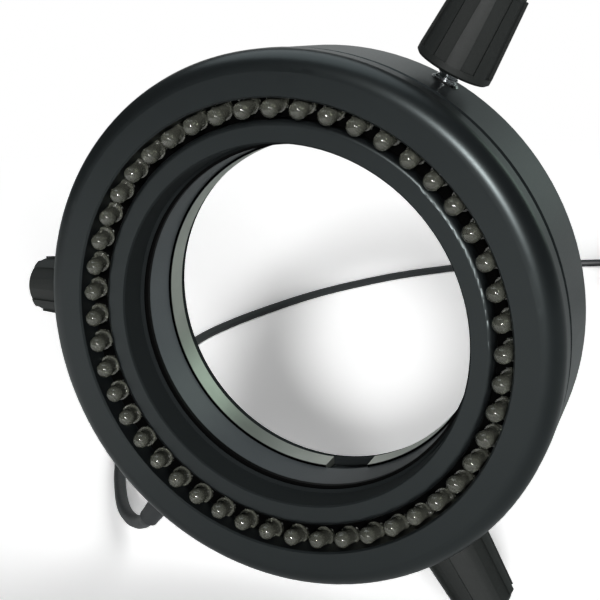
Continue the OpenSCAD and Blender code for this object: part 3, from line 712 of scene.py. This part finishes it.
class RINGLAMP_OT_bore(bpy.types.Operator):
    """Finishes the sleeve and the split clamp band in the bore"""
    bl_idname = "ringlamp.bore"
    bl_label = "Bore"

    def execute(self, context):
        finish = context.scene.ring_lamp_finish
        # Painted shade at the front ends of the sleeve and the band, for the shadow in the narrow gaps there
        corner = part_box("bore_sleeve")[0].y + SLEEVE_PAINTED_SHADE * MM
        dress(turned_metal("Grey anodised aluminium, turned", tuple(finish.sleeve), 0.42, 0.0, 0.5, corner),
              "bore_sleeve")
        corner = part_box("clamp_band")[0].y + BAND_PAINTED_SHADE * MM
        dress(turned_metal("Bare aluminium, turned", tuple(finish.band), 0.42, 1.0, 0.45, corner),
              "clamp_band")
        return {"FINISHED"}


class RINGLAMP_OT_lamps(bpy.types.Operator):
    """Builds the leaning lenses and the posts inside them, and finishes the legs and the holder"""
    bl_idname = "ringlamp.lamps"
    bl_label = "Lamps"

    def execute(self, context):
        finish = context.scene.ring_lamp_finish
        dress(drawn_metal("Tinned wire, drawn", linear("#c3c5c2"), 0.3), "led_leads")
        dress(moulded_plastic("Black nylon, moulded", linear("#020202"), 0.8, 0.4, 0.02), "led_holder")
        outline = list(FLANGE)
        for t in range(0, 90, DOME_STEP):
            a = math.radians(t)
            outline.append((LENS_RADIUS * math.cos(a), LAMP_HUB + LENS_RADIUS * math.sin(a)))
        outline.append((0, LAMP_HUB + LENS_RADIUS))
        lens = at_lamps("lamp_lenses", outline, LENS_SIDES)
        lens.data.materials.append(cast_epoxy("Clear epoxy, cast", tuple(finish.lamp)))
        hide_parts("leds")
        posts = at_lamps("lamp_posts", POST, POST_SIDES)
        posts.data.materials.append(drawn_metal("Silvered lead frame, stamped", tuple(finish.post), 0.4))
        return {"FINISHED"}


class RINGLAMP_OT_thumb_screws(bpy.types.Operator):
    """Builds the three threaded screws, and finishes their knobs, bushes and pads"""
    bl_idname = "ringlamp.thumb_screws"
    bl_label = "Thumb screws"

    def execute(self, context):
        finish = context.scene.ring_lamp_finish
        knob = moulded_plastic("Black nylon knob, moulded", tuple(finish.knob), 0.55, 0.3, 0.35)
        pad = moulded_plastic("Natural nylon, turned", linear("#d8d5c8"), 0.5, 0.6)
        for k, angle in enumerate(SCREW_ANGLES, 1):
            dress(knob, f"knob_{k}")
            dress(pad, f"thrust_pad_{k}")
            steel = rolled_thread(f"Zinc plated steel {k}, rolled thread", linear("#d9dcde"), angle)
            screw = threaded_screw(k, angle)
            screw.data.materials.append(steel)
            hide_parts(f"clamp_screw_{k}")
        dress(drawn_metal("Nickel plated brass, turned", linear("#c6c8c8"), 0.24), "thread_bushes")
        return {"FINISHED"}


class RINGLAMP_OT_inlet(bpy.types.Operator):
    """Finishes the cord's inlet: gland, nut, strain relief and wires"""
    bl_idname = "ringlamp.inlet"
    bl_label = "Cord inlet"

    def execute(self, context):
        finish = context.scene.ring_lamp_finish
        dress(moulded_plastic("Black nylon gland, moulded", linear("#161718"), 0.5, 0.4),
              "cable_gland", "gland_nut")
        dress(extruded_vinyl("Black vinyl, moulded boot", tuple(finish.cord)), "strain_relief", "cord_inlet")
        dress(extruded_vinyl("Red vinyl, extruded", linear("#9c261f")), "wire_positive")
        dress(extruded_vinyl("Black vinyl wire, extruded", linear("#17181a")), "wire_negative")
        return {"FINISHED"}


class RINGLAMP_OT_inside(bpy.types.Operator):
    """Finishes the circuit board, its resistors and the rear screws"""
    bl_idname = "ringlamp.inside"
    bl_label = "Inside and rear screws"

    def execute(self, context):
        dress(masked_laminate("Glass laminate, solder masked", linear("#1f4a30")), "led_board")
        dress(moulded_plastic("Chip resistor ceramic, glazed", linear("#1b1b1d"), 0.35, 0.4), "resistors")
        dress(drawn_metal("Zinc plated steel, headed", linear("#a8abad"), 0.32), "housing_screws")
        return {"FINISHED"}


class RINGLAMP_OT_plug(bpy.types.Operator):
    """Finishes the plug on the far end and the tie round the coil"""
    bl_idname = "ringlamp.plug"
    bl_label = "Plug and tie"

    def execute(self, context):
        finish = context.scene.ring_lamp_finish
        dress(extruded_vinyl("Black vinyl, moulded plug boot", tuple(finish.cord)), "plug_boot")
        dress(moulded_plastic("Black ABS, moulded", linear("#1d1f20"), 0.45, 0.5), "plug_body")
        dress(drawn_metal("Nickel plated brass, drawn barrel", linear("#b9bbba"), 0.24), "plug_barrel")
        dress(moulded_plastic("Black PBT, moulded", linear("#141515"), 0.55, 0.4),
              "plug_insulator", "coil_tie")
        return {"FINISHED"}


OPERATORS = (
    RINGLAMP_OT_stage,
    RINGLAMP_OT_cord,
    RINGLAMP_OT_rings,
    RINGLAMP_OT_bore,
    RINGLAMP_OT_lamps,
    RINGLAMP_OT_thumb_screws,
    RINGLAMP_OT_inlet,
    RINGLAMP_OT_inside,
    RINGLAMP_OT_plug,
)


class RINGLAMP_PT_panel(bpy.types.Panel):
    """Lists the settings and the steps"""
    bl_idname = "RINGLAMP_PT_panel"
    bl_label = "Ring lamp"
    bl_space_type = "VIEW_3D"
    bl_region_type = "UI"
    bl_category = "Ring lamp"

    def draw(self, context):
        scene = context.scene
        for group in (scene.ring_lamp_finish, scene.ring_lamp_cord, scene.ring_lamp_stage):
            box = self.layout.box()
            for name in group.__annotations__:
                box.prop(group, name)
        for operator in OPERATORS:
            self.layout.operator(operator.bl_idname)


CLASSES = (RingLampFinish, RingLampCord, RingLampStage) + OPERATORS + (RINGLAMP_PT_panel,)


def register():
    for cls in CLASSES:
        bpy.utils.register_class(cls)
    bpy.types.Scene.ring_lamp_finish = PointerProperty(type=RingLampFinish)
    bpy.types.Scene.ring_lamp_cord = PointerProperty(type=RingLampCord)
    bpy.types.Scene.ring_lamp_stage = PointerProperty(type=RingLampStage)


def unregister():
    del bpy.types.Scene.ring_lamp_stage
    del bpy.types.Scene.ring_lamp_cord
    del bpy.types.Scene.ring_lamp_finish
    for cls in reversed(CLASSES):
        bpy.utils.unregister_class(cls)


def main():
    register()
    bpy.ops.ringlamp.stage()
    bpy.ops.ringlamp.cord()
    bpy.ops.ringlamp.rings()
    bpy.ops.ringlamp.bore()
    bpy.ops.ringlamp.lamps()
    bpy.ops.ringlamp.thumb_screws()
    bpy.ops.ringlamp.inlet()
    bpy.ops.ringlamp.inside()
    bpy.ops.ringlamp.plug()


if __name__ == "__main__":
    main()
